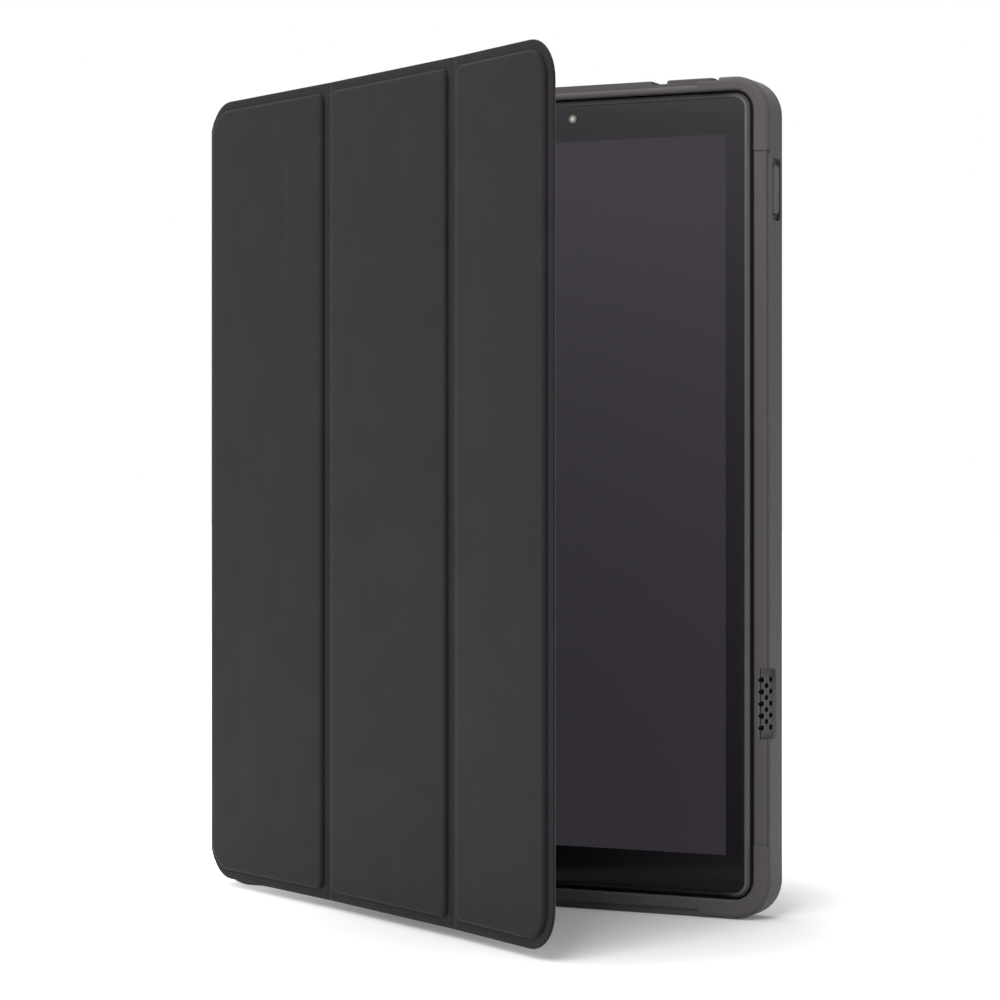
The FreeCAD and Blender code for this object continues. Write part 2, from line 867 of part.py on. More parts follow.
def cover_pieces():
    """All pieces of the three cover panels, each in its open place."""
    plain = plate_corner_radius
    bend = plate_bend_corner_radius
    free = plate_free_corner_radius
    fold_start = fold_reach + sheet_clearance
    panels = [
        (1, bend_pivot, panel_1_opening, cover_panel(
            0, bend_reach + sheet_clearance, panel_1_length - fold_reach,
            [bend_corner_radius, 0, 0, bend_corner_radius],
            plate_bend_rim, panel_1_length - groove_half_width, [bend, plain, plain, bend],
        )),
        (2, fold_1_pivot, panel_2_opening, cover_panel(
            fold_start, fold_start, panel_2_length - fold_reach, [0] * 4,
            groove_half_width, panel_2_length - groove_half_width, [plain] * 4,
        )),
        (3, fold_2_pivot, panel_3_opening, cover_panel(
            fold_start, fold_start, panel_3_length, [0, free_corner_radius, free_corner_radius, 0],
            groove_half_width, panel_3_length - plate_free_rim, [plain, free, free, plain],
        )),
    ]
    inserts = {
        1: {"keeper_plate": keeper_slab()},
        3: {"cover_magnets": cover_magnet_discs(), "wake_magnet": wake_magnet_bar()},
    }
    pieces = {}
    for number, pivot, opening, (lining, skin, board) in panels:
        for name, insert in inserts.get(number, {}).items():
            board = board.cut(insert)
            pieces[name] = stand_panel(insert, pivot, opening)
        pieces[f"panel_{number}_lining"] = stand_panel(lining, pivot, opening)
        pieces[f"panel_{number}_skin"] = stand_panel(skin, pivot, opening)
        pieces[f"panel_{number}_board"] = stand_panel(board, pivot, opening)
    return pieces


def folded_strip(start, corner, end, low, high):
    """Strip of skin and lining that runs from a start to an end with one sharp fold at a corner."""
    ahead = (corner - start).normalize()
    beyond = (end - corner).normalize()
    side = Vector(-ahead.y, ahead.x, 0)
    far_side = Vector(-beyond.y, beyond.x, 0)
    mitre = (side + far_side) * (sheet_middle / (1 + side.dot(far_side)))
    points = [
        start + side * sheet_middle, corner + mitre, end + far_side * sheet_middle,
        end - far_side * sheet_middle, corner - mitre, start - side * sheet_middle,
    ]
    points = [point + Vector(0, 0, low) for point in points]
    face = Part.Face(Part.makePolygon(points + points[:1]))
    return face.extrude(Vector(0, 0, high - low)), corner + mitre, corner - mitre


def round_bend(strip, inner_point, outer_point, inner_radius):
    """Round the two upright edges of a fold so that the strip keeps its thickness."""
    for point, radius in ((inner_point, inner_radius), (outer_point, inner_radius + sheet_thickness)):
        def at_point(edge):
            offsets = [vertex.Point - point for vertex in edge.Vertexes]
            return all(math.hypot(offset.x, offset.y) < same_place for offset in offsets)
        strip = strip.makeFillet(radius, [edge for edge in strip.Edges if at_point(edge)])
    return strip


def fold_web(pivot, opening_before, opening_after):
    """Thin fold between two cover panels."""
    start = pivot - heading(opening_before) * (fold_reach - sheet_clearance)
    end = pivot + heading(opening_after) * fold_reach
    return folded_strip(start, pivot, end, cover_lift, cover_top)[0]


def front_web():
    """Rounded bend between the spine and the first panel."""
    start = Vector(fold_x, spine_front - sheet_clearance, 0)
    end = bend_pivot + heading(panel_1_opening) * bend_reach
    strip, inner, outer = folded_strip(start, bend_pivot, end, cover_lift, cover_top)
    strip = round_bend(strip, inner, outer, front_bend_radius)
    return strip.common(stand_panel(bend_outline(), bend_pivot, panel_1_opening))


def bend_outline():
    """Room of the cover's bend side, shut: its round corners, and the spine's height behind them."""
    radius = bend_corner_radius
    corners = rounded_plate(
        0, 2 * radius, -case_depth, case_depth, cover_lift, cover_top, [radius, 0, 0, radius]
    )
    return corners.fuse(block(-case_depth, radius, -case_depth, case_depth, spine_bottom, spine_top))


def back_web():
    """Rounded bend between the back panel and the spine."""
    corner = Vector(fold_x, back_fold_y, 0)
    start = Vector(back_panel_left - sheet_clearance, back_fold_y, 0)
    end = Vector(fold_x, spine_back + sheet_clearance, 0)
    strip, inner, outer = folded_strip(start, corner, end, spine_bottom, spine_top)
    return round_bend(strip, inner, outer, back_bend_radius)


def spine_pieces():
    """Lining, board and skin of the spine, along the left side of the tray."""
    lining_face = spine_inside - lining_thickness
    board_face = lining_face - spine_board_thickness
    outer_face = board_face - skin_thickness
    lining = block(lining_face, spine_inside, spine_front, spine_back, spine_bottom, spine_top)
    board = block(
        board_face, lining_face, spine_front + spine_board_inset, spine_back - spine_board_inset,
        spine_bottom + spine_board_inset, spine_top - spine_board_inset,
    )
    skin = block(outer_face, lining_face, spine_front, spine_back, spine_bottom, spine_top)
    return {"spine_lining": lining, "spine_board": board, "spine_skin": skin.cut(board)}


def back_pieces():
    """Board and skin of the back panel, on the back of the tray, with the camera window."""
    left = back_panel_left
    far = right - back_panel_inset
    low = back_panel_inset
    high = case_height - back_panel_inset
    radius = back_panel_corner_radius
    corners = [spine_bottom - low, radius, radius, high - spine_top]
    rim = back_plate_rim
    plate_radius = radius - rim
    base = back + sheet_clearance
    sheet = rounded_plate(left, far, base, base + sheet_thickness, low, high, corners)
    top = base + back_board_thickness + skin_thickness
    plate = rounded_plate(left + rim, far - rim, base, top, low + rim, high - rim, [plate_radius] * 4)
    edge = min(plate_edge_radius, wall_share * (top - base - sheet_thickness))
    plate = plate.makeFillet(edge, edges_at_depth(plate, top))
    inset = rim + skin_thickness
    board = rounded_plate(
        left + inset, far - inset, base, base + back_board_thickness, low + inset, high - inset,
        [plate_radius - skin_thickness] * 4,
    )
    skin = sheet.fuse(plate).removeSplitter()
    board = board.cut(camera_window(back - overrun, top + overrun, skin_thickness))
    return {
        "back_board": board,
        "back_skin": skin.cut(board).cut(camera_window(back - overrun, top + overrun)),
    }


def all_pieces():
    """Every piece of the folio and its tablet, by name."""
    pieces = {
        "bumper_shell": bumper_shell(),
        "tray_liner": tray_liner(),
        "power_pad": power_pad(),
        "volume_pad": volume_pad(),
        "tablet_housing": tablet_housing(),
        "tablet_rim": tablet_rim(),
        "cover_glass": cover_glass(),
        "display_panel": display_panel(),
        "battery_cells": battery_cells(),
        "main_board": main_board(),
        "front_camera": front_camera(),
        "rear_camera": rear_camera(),
        "rear_lens": rear_lens(),
        "flash_lamp": flash_lamp(),
        "charging_port": charging_port(),
        "port_board": port_board(),
        "loudspeaker": loudspeaker(),
        "power_key": power_key(),
        "volume_key": volume_key(),
        "key_switches": key_switches(),
        "back_web": back_web(),
        "front_web": front_web(),
        "fold_web_1": fold_web(fold_1_pivot, panel_1_opening, panel_2_opening),
        "fold_web_2": fold_web(fold_2_pivot, panel_2_opening, panel_3_opening),
    }
    pieces.update(back_pieces())
    pieces.update(spine_pieces())
    pieces.update(cover_pieces())
    return pieces


os.makedirs("parts", exist_ok=True)
for name, shape in all_pieces().items():
    shape.exportStep(f"parts/{name}.step")
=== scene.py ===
"""Looks of a tri-fold tablet folio: leather-look cover, soft bumper tray, tablet and photo stage."""

import json
import math
from functools import cached_property

import bmesh
import bpy
from bpy.props import FloatProperty, FloatVectorProperty, PointerProperty
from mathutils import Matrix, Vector


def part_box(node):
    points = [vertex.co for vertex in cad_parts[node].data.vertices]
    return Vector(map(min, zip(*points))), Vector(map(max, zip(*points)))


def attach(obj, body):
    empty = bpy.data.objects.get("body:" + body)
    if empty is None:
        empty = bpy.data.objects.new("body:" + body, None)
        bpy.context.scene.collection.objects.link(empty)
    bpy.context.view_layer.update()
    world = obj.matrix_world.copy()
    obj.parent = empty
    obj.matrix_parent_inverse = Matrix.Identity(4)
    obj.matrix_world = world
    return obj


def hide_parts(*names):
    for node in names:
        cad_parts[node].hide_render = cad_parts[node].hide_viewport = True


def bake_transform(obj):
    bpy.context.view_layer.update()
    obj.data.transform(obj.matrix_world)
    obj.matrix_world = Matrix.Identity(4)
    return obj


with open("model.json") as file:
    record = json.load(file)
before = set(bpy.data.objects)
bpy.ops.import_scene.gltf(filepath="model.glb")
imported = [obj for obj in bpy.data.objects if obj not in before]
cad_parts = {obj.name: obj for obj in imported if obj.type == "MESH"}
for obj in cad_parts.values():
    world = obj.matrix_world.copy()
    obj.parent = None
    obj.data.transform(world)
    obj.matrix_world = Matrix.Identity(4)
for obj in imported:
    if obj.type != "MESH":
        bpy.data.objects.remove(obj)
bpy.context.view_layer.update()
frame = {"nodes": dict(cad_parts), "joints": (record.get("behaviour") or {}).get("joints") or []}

bl_info = {
    "name": "Tri-fold tablet folio",
    "version": (1, 0, 0),
    "blender": (4, 5, 0),
    "location": "View3D > Sidebar > Folio",
    "description": "Dresses the packed folio and sets its stage",
    "category": "Object",
}

pivots = {joint["name"]: Vector(joint["pos_m"]) for joint in frame["joints"] if "pos_m" in joint}
upward = Vector((0, 0, 1))
cover_low, cover_high = (corner.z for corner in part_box("panel_2_lining"))

# Small lengths in metres, and shares, that fit pieces to each other

proud = 0.00003  # a fold or bend stands out of the sheets it joins
lap = 0.0004  # a bend runs over the end of the next sheet
fold_lap = 0.0008  # a panel's skin reaches into the groove
fold_play = 0.00005  # a fold ends before the plate's wall
bend_play = 0.0001  # the front bend ends before the first plate
skin_cut = 0.0012  # where the first panel's skin starts, under the bend
lining_lap = 0.0005  # the first panel's lining runs under the bend
free_tuck = 0.0005  # the free plate's corner is tighter than an even rim makes it
spine_corner = 0.0004  # corner radius of the spine's skin and lining
liner_corner = 0.0085  # corner radius of the tray's liner
turned_share = 0.7  # rounding of a turned edge, of the sheet's thickness
crease_angle = math.radians(50)  # sharper edges than this aren't smoothed
swell_steps = (0.0006, 0.0016, 0.0034, 0.006, 0.0095, 0.0135, 0.0175)  # from a plate's edge inwards
swell_run = 0.005  # over which a plate reaches most of its swell
floor_drop = 0.0001  # the floor lies under the tray


# Settings that a user would change

def number(name, description, default, **how):
    """Number setting."""
    return FloatProperty(name=name, description=description, default=default, **how)


def length(name, description, default):
    """Length setting in metres."""
    return number(name, description, default, unit="LENGTH", precision=5)


def angle(name, description, degrees):
    """Angle setting, given in degrees."""
    return number(name, description, math.radians(degrees), subtype="ANGLE")


def share(name, description, default):
    """Setting between nothing and all."""
    return number(name, description, default, min=0, max=1, subtype="FACTOR")


def colour(name, description, default):
    """Colour setting, in linear light."""
    return FloatVectorProperty(
        name=name, description=description, default=default, size=3, min=0, max=1, subtype="COLOR"
    )


class CoverSettings(bpy.types.PropertyGroup):
    """Sizes and colours of the cover, the spine and the back panel."""
    skin: length("Skin", "Thickness of the leather-look skin", 0.0005)
    lining: length("Lining", "Thickness of the microfibre lining", 0.0004)
    board: length("Board", "Thickness of the stiff board in a panel", 0.0012)
    free_length: length("Free panel", "Length of the third panel", 0.0517)
    free_opening: angle("Free opening", "How far the third panel stands open", 32.6)
    edge_rim: length("Edge rim", "Flat rim above and below a raised plate", 0.0029)
    bend_rim: length("Bend rim", "Flat rim between the bend and the first plate", 0.0021)
    free_rim: length("Free rim", "Flat rim at the free edge", 0.0029)
    groove: length("Groove", "Half the width of the groove between two plates", 0.0026)
    crease: length("Crease", "How deep a fold sinks in its middle", 0.00012)
    bend_corner: length("Bend corner", "Corner radius at the bend", 0.0115)
    free_corner: length("Free corner", "Corner radius at the free edge", 0.012)
    plate_corner: length("Plate corner", "Corner radius of a plate at a fold", 0.003)
    plate_edge: length("Plate edge", "Rounding round the top of a plate", 0.001)
    pillow: length("Pillow", "How much a plate swells over its middle", 0.00012)
    front_bend: length("Front bend", "Inner radius between the spine and the cover", 0.0009)
    back_bend: length("Back bend", "Inner radius between the back and the spine", 0.0010)
    back_rim: length("Back rim", "Flat rim round the back panel's plate", 0.003)
    back_corner: length("Back corner", "Corner radius of the back panel", 0.008)
    back_rise: length("Back rise", "Height of the back panel's plate above its rim", 0.0005)
    window_width: length("Window width", "Width of the camera window", 0.031)
    window_height: length("Window height", "Height of the camera window", 0.014)
    window_margin: length("Window margin", "From the camera's middle to the end of the window", 0.0085)
    leather: colour("Leather", "Colour of the skin", (0.0163, 0.0137, 0.0163))
    microfibre: colour("Microfibre", "Colour of the lining", (0.030, 0.028, 0.030))


class BumperSettings(bpy.types.PropertyGroup):
    """Colour and finish of the soft bumper tray."""
    rubber: colour("Rubber", "Colour of the moulded rubber", (0.104, 0.095, 0.104))
    gloss: share("Gloss", "Lowest roughness of the rubber", 0.38)
    # The volume pad's lighter rubber is painted light
    pad_painted_light: number("Painted_pad_light", "How much lighter the volume pad is than the tray", 1.3)


class TabletSettings(bpy.types.PropertyGroup):
    """Sizes and colours of the tablet's front, with the display's painted glow and the bezel's painted light
    and shade.
    """
    display_side: length("Display side", "Half the width of the display", 0.0802)
    display_low: length("Display bottom", "Height of the lower edge of the display", 0.0188)
    display_high: length("Display top", "Height of the upper edge of the display", 0.2326)
    lens_ring: length("Lens ring", "Outer radius of the ring round the front lens", 0.00165)
    # The display's light is a painted glow, stronger towards its top
    display_top_painted_glow: colour("Display top", "Light of the display at its top", (0.0500, 0.0455, 0.0530))
    display_low_painted_glow: colour(
        "Display bottom", "Light of the display at its foot", (0.0290, 0.0255, 0.0315)
    )
    # The bezel's two colours are painted light at its top and painted shade at its foot
    bezel_top_painted_light: colour("Bezel top", "Colour of the bezel at its top", (0.045, 0.041, 0.045))
    bezel_low_painted_shade: colour("Bezel bottom", "Colour of the bezel at its foot", (0.012, 0.010, 0.012))


class StageSettings(bpy.types.PropertyGroup):
    """Camera, lamps and floor."""
    azimuth: angle("Azimuth", "Camera's turn to the right of the screen", 25.29)
    distance: length("Distance", "From the camera to the plane of the front lip", 0.90346)
    offset: length("Offset", "Camera's shift to its own right", 0.00602)
    height: length("Height", "Height of the level camera", 0.1339)
    lens: number("Lens", "Focal length in millimetres", 105.66)
    rise: number("Rise", "Vertical shift of the lens", -0.03305)
    sky: number("Sky", "Strength of the even light all round", 0.24)
    key: number("Key", "Power of the large lamp in front", 18.5)
    top: number("Top", "Power of the lamp above", 11)
    fill: number("Fill", "Power of the lamp at the left", 8.5)
    floor: colour("Floor", "Colour of the floor", (0.88, 0.88, 0.885))
    # Low in the wedge, where the floor takes painted shade
    floor_glow: share("Floor glow", "White added to the floor in the wedge", 0.08)


# Node materials

class Nodes:
    """Node tree, with short ways to add and join nodes."""

    def __init__(self, tree):
        self.tree = tree

    def add(self, kind, settings=None, **values):
        """New node, with its settings, and with its sockets set or joined."""
        node = self.tree.nodes.new(kind)
        for name, value in (settings or {}).items():
            setattr(node, name, value)
        for name, value in values.items():
            self.put(node.inputs[name.replace("_", " ")], value)
        return node

    def put(self, socket, value):
        """Set a socket, or join an output to it."""
        if isinstance(value, bpy.types.NodeSocket):
            self.tree.links.new(value, socket)
        else:
            socket.default_value = value

    def compute(self, kind, *values):
        """Result of a sum, a product or another operation."""
        node = self.add("ShaderNodeMath", {"operation": kind})
        for socket, value in zip(node.inputs, values):
            self.put(socket, value)
        return node.outputs["Value"]

    def product(self, *values):
        """Product of two or more values."""
        total = values[0]
        for value in values[1:]:
            total = self.compute("MULTIPLY", total, value)
        return total

    def spread(self, value, low, high, start=0.0, end=1.0, way="LINEAR"):
        """Value carried from one range to another."""
        node = self.add(
            "ShaderNodeMapRange", {"interpolation_type": way}, Value=value, From_Min=start, From_Max=end,
            To_Min=low, To_Max=high,
        )
        return node.outputs["Result"]

    def within(self, value, middle, reach):
        """One where a value lies close to a middle, and nothing elsewhere."""
        away = self.compute("ABSOLUTE", self.compute("SUBTRACT", value, middle))
        return self.compute("LESS_THAN", away, reach)

    @cached_property
    def place(self):
        """Object coordinates."""
        return self.add("ShaderNodeTexCoord").outputs["Object"]

    def axes(self):
        """Object coordinates, each by itself."""
        return self.add("ShaderNodeSeparateXYZ", Vector=self.place).outputs

    def away(self, centre):
        """Distance from a point."""
        node = self.add("ShaderNodeVectorMath", {"operation": "DISTANCE"}, Vector=self.place)
        self.put(node.inputs[1], centre)
        return node.outputs["Value"]

    def seen_directly(self):
        """One for rays from the camera, from reflections and through glass, and nothing for other light."""
        path = self.add("ShaderNodeLightPath").outputs
        seen = self.compute("MAXIMUM", path["Is Camera Ray"], path["Is Glossy Ray"])
        return self.compute("MAXIMUM", seen, path["Is Transmission Ray"])


class Shader(Nodes):
    """Material with one Principled shader."""

    def __init__(self, name, **values):
        self.material = bpy.data.materials.new(name)
        self.material.use_nodes = True
        super().__init__(self.material.node_tree)
        self.surface = self.tree.nodes["Principled BSDF"]
        self.finish(**values)

    def scaled(self, x, y, z):
        """Object coordinates, stretched along each axis."""
        return self.add("ShaderNodeMapping", Vector=self.place, Scale=(x, y, z)).outputs["Vector"]

    def noise(self, scale, detail=2.0, roughness=0.5, vector=None):
        """Noise between nothing and one."""
        node = self.add(
            "ShaderNodeTexNoise", Vector=vector or self.place, Scale=scale, Detail=detail,
            Roughness=roughness,
        )
        return node.outputs["Fac"]

    def cells(self, scale, smooth):
        """Distance inside rounded cells, for a pebble grain."""
        node = self.add(
            "ShaderNodeTexVoronoi", {"feature": "SMOOTH_F1"}, Vector=self.place, Scale=scale,
            Smoothness=smooth,
        )
        return node.outputs["Distance"]

    def between(self, first, second, amount):
        """Colour between two colours."""
        node = self.add("ShaderNodeMix", {"data_type": "RGBA"})
        self.put(node.inputs["Factor"], amount)
        for socket, tint in zip((node.inputs[6], node.inputs[7]), (first, second)):
            self.put(socket, tint if isinstance(tint, bpy.types.NodeSocket) else (*tint, 1))
        return node.outputs[2]

    def edges(self, amount):
        """How much a spot sticks out, for edges rubbed lighter by use."""
        point = self.add("ShaderNodeNewGeometry").outputs["Pointiness"]
        return self.product(self.spread(point, 0.0, 1.0, 0.52, 0.62), amount)

    def bump(self, height, depth, strength):
        """Raised grain on the surface."""
        node = self.add("ShaderNodeBump", Height=height, Distance=depth, Strength=strength)
        self.put(self.surface.inputs["Normal"], node.outputs["Normal"])

    def finish(self, **sockets):
        """Set the shader's sockets, or join outputs to them."""
        for name, value in sockets.items():
            self.put(self.surface.inputs[name.replace("_", " ")], value)
        return self.material


def lighter(tint, factor):
    """Colour made lighter or darker."""
    return tuple(min(1.0, part * factor) for part in tint)


def leather_material(name, tint):
    """Matte leather-look skin: fine pebble grain, faint mottling and slightly rubbed edges."""
    look = Shader(name, Specular_IOR_Level=0.08, Sheen_Weight=0.14, Sheen_Roughness=0.35)
    mottle = look.noise(38, 4, 0.62)
    cloud = look.noise(9, 2, 0.5)
    base = look.between(lighter(tint, 0.86), lighter(tint, 1.14), mottle)
    base = look.between(base, lighter(tint, 0.88), look.spread(cloud, 0.0, 0.5, 0.45, 0.75))
    base = look.between(base, lighter(tint, 1.7), look.edges(0.35))
    pebble = look.cells(1500, 0.7)
    pores = look.noise(3600, 2, 0.6)
    look.bump(look.compute("ADD", pebble, look.product(pores, 0.4)), 0.00005, 0.5)
    return look.finish(Base_Color=base, Roughness=look.spread(look.noise(70, 3), 0.50, 0.66))


def rubber_material(name, tint, gloss):
    """Moulded rubber with a fine eroded texture and soft sheen, and painted shade that makes the sound holes
    nearly black.
    """
    look = Shader(name, Specular_IOR_Level=0.05)
    base = look.between(lighter(tint, 0.94), lighter(tint, 1.06), look.noise(120, 3))
    base = look.between(base, lighter(tint, 1.35), look.edges(0.25))
    # Painted shade: the sound holes are darkened nearly to black
    base = look.between(base, lighter(tint, 0.02), holes_painted_shade(look))
    look.bump(look.noise(2600, 3, 0.6), 0.00003, 0.35)
    return look.finish(Base_Color=base, Roughness=look.spread(look.noise(300, 2), gloss, gloss + 0.12))


def holes_painted_shade(look):
    """One inside the holes behind the slanted floor of the grille, where the shade is painted, and nothing
    elsewhere.
    """
    floor_slant, floor_depth, hole_depth = 0.297, 0.00285, 0.0045
    behind_lip, half_width = 0.0036, 0.0030
    grille_height, half_height = 0.064, 0.0104
    low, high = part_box("bumper_shell")
    axes = look.axes()
    at_lip = high.x - floor_depth - floor_slant * low.y
    floor = look.compute("MULTIPLY_ADD", axes["Y"], floor_slant, at_lip)
    return look.product(
        look.compute("LESS_THAN", axes["X"], floor),
        look.compute("GREATER_THAN", axes["X"], high.x - hole_depth),
        look.within(axes["Y"], low.y + behind_lip, half_width),
        look.within(axes["Z"], grille_height, half_height),
    )


def microfibre_material(name, tint):
    """Napped cloth: short fibres that lie one way, with a faint sheen."""
    look = Shader(name, Specular_IOR_Level=0.15, Sheen_Weight=0.35, Sheen_Roughness=0.5)
    nap = look.noise(1.0, 3, 0.65, look.scaled(2600, 2600, 700))
    brushed = look.noise(16, 3, 0.6)
    base = look.between(lighter(tint, 0.75), lighter(tint, 1.3), nap)
    base = look.between(base, lighter(tint, 1.25), look.spread(brushed, 0.0, 0.5, 0.4, 0.7))
    look.bump(nap, 0.00012, 0.6)
    return look.finish(Base_Color=base, Roughness=look.spread(nap, 0.85, 0.98))


def anodised_material(name, tint, low, high):
    """Blasted and dyed aluminium."""
    look = Shader(name, Metallic=0.85)
    grit = look.noise(6500, 2, 0.6)
    base = look.between(lighter(tint, 0.92), lighter(tint, 1.08), look.noise(90, 3))
    base = look.between(base, lighter(tint, 1.6), look.edges(0.3))
    look.bump(grit, 0.000008, 0.4)
    return look.finish(Base_Color=base, Roughness=look.spread(grit, low, high))


def bezel_painted_light(look, tablet, height):
    """Colour of the printed bezel with painted light: lighter towards the top of the tablet, and painted
    shade darker towards its foot.
    """
    top = 0.25
    return look.between(
        tablet.bezel_low_painted_shade, tablet.bezel_top_painted_light, look.spread(height, 0.0, 1.0, 0.0, top)
    )


def rim_material(name, tablet):
    """Bevelled metal with a painted highlight along the tablet's two long sides, and at its ends the bezel's
    painted light and shade.
    """
    look = Shader(name, Metallic=0.3, Specular_IOR_Level=0.2)
    painted_side_highlight, inner, outer = (0.125, 0.120, 0.125), 0.080, 0.0865
    axes = look.axes()
    # Mask of the painted highlight along the two long sides
    side = look.spread(look.compute("ABSOLUTE", axes["X"]), 0.0, 1.0, inner, outer)
    grit = look.noise(6500, 2, 0.6)
    look.bump(grit, 0.000008, 0.4)
    return look.finish(
        Base_Color=look.between(bezel_painted_light(look, tablet, axes["Z"]), painted_side_highlight, side),
        Roughness=look.spread(grit, 0.32, 0.45),
    )


def glass_material(name, tablet):
    """Front glass: printed bezel with painted light, round a dim display that glows with painted light
    stronger towards its top, with a faint smear on its polish.
    """
    look = Shader(name, Specular_IOR_Level=0.1, Emission_Strength=1.0)
    # Heights and curve of the display's painted glow
    shade_low, shade_high, shade_power = 0.03, 0.21, 1.85
    axes = look.axes()
    inside = look.product(
        look.within(axes["X"], 0.0, tablet.display_side),
        look.compute("GREATER_THAN", axes["Z"], tablet.display_low),
        look.compute("LESS_THAN", axes["Z"], tablet.display_high),
    )
    # Bezel colour with painted light at its top and painted shade at its foot
    bezel = bezel_painted_light(look, tablet, axes["Z"])
    height = look.compute("POWER", look.spread(axes["Z"], 0.0, 1.0, shade_low, shade_high), shade_power)
    # Painted glow of the display, stronger towards the top
    display = look.between(tablet.display_low_painted_glow, tablet.display_top_painted_glow, height)
    smear = look.noise(25, 4, 0.6)
    return look.finish(
        Base_Color=look.between(bezel, lighter(tablet.bezel_low_painted_shade, 0.5), inside),
        Emission_Color=look.between((0, 0, 0), display, inside),
        Roughness=look.spread(smear, 0.06, 0.16),
    )


def circuit_material(name):
    """Solder mask with lighter tracks and small pads."""
    look = Shader(name, Specular_IOR_Level=0.5)
    tracks = look.add(
        "ShaderNodeTexBrick", Vector=look.place, Scale=420, Color1=(0.006, 0.045, 0.016, 1),
        Color2=(0.010, 0.060, 0.022, 1), Mortar=(0.02, 0.11, 0.04, 1),
    )
    pads = look.spread(look.cells(900, 0.1), 0.0, 1.0, 0.16, 0.12)
    base = look.between(tracks.outputs["Color"], (0.5, 0.42, 0.2), look.product(pads, 0.5))
    look.bump(tracks.outputs["Fac"], 0.00003, 0.4)
    return look.finish(Base_Color=base, Roughness=look.spread(pads, 0.42, 0.3))


def lamp_material(name, centre):
    """Clear flash window with rings over a yellow phosphor."""
    look = Shader(name, Specular_IOR_Level=0.6, Coat_Weight=0.6, Coat_Roughness=0.05)
    ring_rate, glow_core, glow_edge = 14000, 0.0004, 0.0012
    away = look.away(centre)
    rings = look.compute("SINE", look.product(away, ring_rate))
    glow = look.spread(away, 1.0, 0.0, glow_core, glow_edge)
    base = look.between((0.62, 0.60, 0.52), (0.75, 0.62, 0.16), glow)
    look.bump(rings, 0.00004, 0.5)
    return look.finish(Base_Color=base, Roughness=look.spread(rings, 0.15, 0.25, -1, 1))


def lens_material(name, centre, radius, rim, heart_tint_and_glint, polish):
    """Lens with a tint that changes towards its middle, where the front lens has a painted glint."""
    look = Shader(name, Specular_IOR_Level=polish, Coat_Weight=polish, Coat_Roughness=0.03)
    near = look.spread(look.away(centre), 1.0, 0.0, 0.0, radius)
    base = look.between(rim, heart_tint_and_glint, look.compute("POWER", near, 2.5))
    return look.finish(Base_Color=base, Roughness=look.spread(near, 0.12, 0.06))


def grained_material(name, noise, stretch, dark, light, grain, polish, metal, shine):
    """Finish whose colour, grain and polish follow one noise."""
    look = Shader(name, Metallic=metal, Specular_IOR_Level=shine)
    height = look.noise(*noise, look.scaled(*stretch))
    look.bump(height, *grain)
    return look.finish(Base_Color=look.between(dark, light, height), Roughness=look.spread(height, *polish))


def floor_material(stage):
    """Matt floor with a white glow that only what sees it directly gets; the glow is weaker round the wedge,
    which paints shade on the floor there.
    """
    wedge_middle, glow_start, glow_end = (0.035, -0.03, 0), 0.03, 0.22
    material = bpy.data.materials.new("floor")
    material.use_nodes = True
    look = Nodes(material.node_tree)
    look.tree.nodes.remove(look.tree.nodes["Principled BSDF"])
    matt = look.add("ShaderNodeBsdfDiffuse", Color=(*stage.floor, 1))
    away = look.away(wedge_middle)
    # Painted shade: less white glow near the wedge, so the floor there is darker
    white = look.spread(away, stage.floor_glow, 1.0, glow_start, glow_end, "SMOOTHSTEP")
    glow = look.add("ShaderNodeEmission", Strength=look.product(white, look.seen_directly()))
    both = look.add("ShaderNodeAddShader")
    look.put(both.inputs[0], matt.outputs["BSDF"])
    look.put(both.inputs[1], glow.outputs["Emission"])
    look.put(look.tree.nodes["Material Output"].inputs["Surface"], both.outputs["Shader"])
    return material


def finish_named(name, make, *values):
    """Material of that name, made now if no step has made it yet."""
    return bpy.data.materials.get(name) or make(name, *values)


def leather():
    """Finish of the skin, from the settings."""
    return finish_named("pebbled_leather", leather_material, bpy.context.scene.folio_cover.leather)


def microfibre():
    """Finish of the lining, from the settings."""
    return finish_named("napped_microfibre", microfibre_material, bpy.context.scene.folio_cover.microfibre)


def dress(material, *nodes):
    """Give rigid solids their material."""
    for name in nodes:
        materials = frame["nodes"][name].data.materials
        materials.clear()
        materials.append(material)


# Mesh building

class Outline:
    """Rounded rectangle, with its radii from the bottom left corner round to the top left one."""
    arc_steps = 10
    side_steps = 8
    least_radius = 0.00005

    def __init__(self, left, right, low, high, radii):
        self.left, self.right, self.low, self.high = left, right, low, high
        self.radii = [max(radius, self.least_radius) for radius in radii]

    def inset(self, by):
        """Outline drawn in by a distance."""
        radii = [radius - by for radius in self.radii]
        return Outline(self.left + by, self.right - by, self.low + by, self.high - by, radii)

    def points(self):
        """Points round the outline, always as many."""
        arcs = []
        for corner, radius in enumerate(self.radii):
            x = self.left + radius if corner in (0, 3) else self.right - radius
            y = self.low + radius if corner < 2 else self.high - radius
            turns = [math.radians(180 + 90 * (corner + step / self.arc_steps))
                     for step in range(self.arc_steps + 1)]
            arcs.append([(x + radius * math.cos(turn), y + radius * math.sin(turn)) for turn in turns])
        points = []
        for here, ahead in zip(arcs, arcs[1:] + arcs[:1]):
            (x0, y0), (x1, y1) = here[-1], ahead[0]
            shares = [step / self.side_steps for step in range(1, self.side_steps)]
            points += here + [(x0 + (x1 - x0) * part, y0 + (y1 - y0) * part) for part in shares]
        return points

    def ring(self, level):
        """Points round the outline at one level above its base."""
        return [(x, y, level) for x, y in self.points()]


def quarter_turn(steps):
    """Sine and cosine over a quarter turn."""
    turns = [math.radians(90 * step / steps) for step in range(steps + 1)]
    return [(math.sin(turn), math.cos(turn)) for turn in turns]


